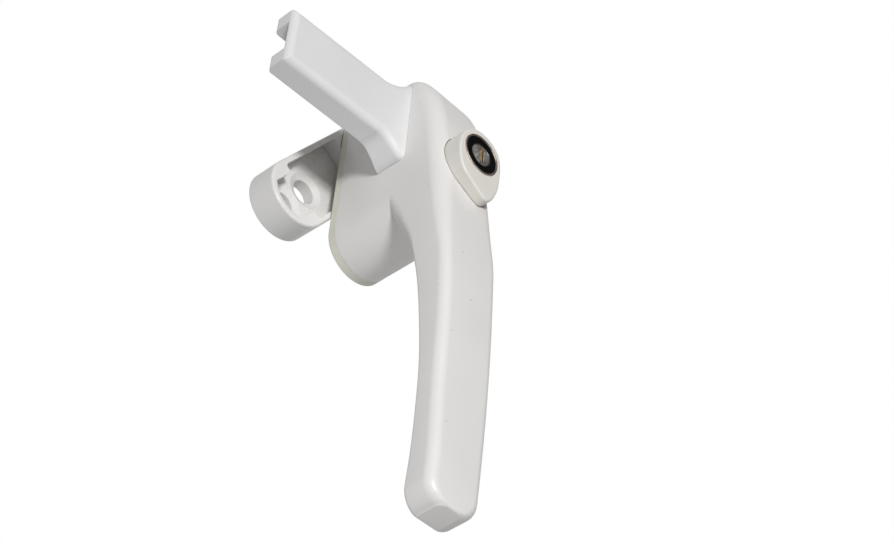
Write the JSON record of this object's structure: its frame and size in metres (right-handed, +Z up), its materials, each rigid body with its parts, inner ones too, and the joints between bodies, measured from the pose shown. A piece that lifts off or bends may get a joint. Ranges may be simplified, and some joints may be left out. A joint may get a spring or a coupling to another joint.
{
  "type": "locking cockspur window handle",
  "caption": "Casement window handle: turning lever with a slotted nose arm, nylon bearing plate, oblong screw-fixed base and a push button with a cylinder lock.",
  "frame": {"origin": "centre of the base's back face, on the sash's surface", "axes": "+Z up along the sash, +X to the right seen from the room, +Y into the sash, room side -Y"},
  "size_m": [0.1248, 0.055, 0.1283],
  "materials": {
    "base_white": "satin white",
    "lever_white": "satin white",
    "nose_white": "satin white",
    "plate_nylon": "smooth",
    "button_cream": "satin cream",
    "chrome": "polished",
    "black_plastic": "gloss",
    "brass_plug": "nickel on brass",
    "zinc": "as cast",
    "steel": "bright"
  },
  "bodies": {
    "base": {"base_casting": "base_white", "click_ball": "steel", "click_spring": "steel", "spring_washer": "steel"},
    "lever": {"lever_casting": "lever_white", "bearing_plate": "plate_nylon", "spindle": "steel", "retaining_ring": "steel", "nose_arm": "nose_white", "nose_pin": "steel", "return_spring": "steel"},
    "button": {"lock_button": "button_cream", "lock_barrel": "zinc", "barrel_ring": "chrome", "barrel_disc": "black_plastic", "lock_bolt": "zinc"},
    "plug": {"lock_plug": "brass_plug", "key_shutter": "chrome", "lock_cam": "steel", "wafer_1": "brass_plug", "wafer_2": "brass_plug", "wafer_3": "brass_plug", "wafer_4": "brass_plug"}
  },
  "joints": [
    {"name": "lever_turn", "type": "hinge", "parent": "base", "child": "lever", "pos_m": [0, 0, 0.0186], "axis": [0, -1, 0], "range_deg": [-34.4, 55.6]},
    {"name": "button_press", "type": "slide", "parent": "lever", "child": "button", "axis": [0, 1, 0], "range_m": [0, 0.004], "stiffness_N_per_m": 1500, "springref_m": -0.002, "deforming": ["return_spring"]},
    {"name": "plug_turn", "type": "hinge", "parent": "button", "child": "plug", "pos_m": [0.01644, -0.04, -0.00541], "axis": [0, -1, 0], "range_deg": [0, 90]}
  ]
}
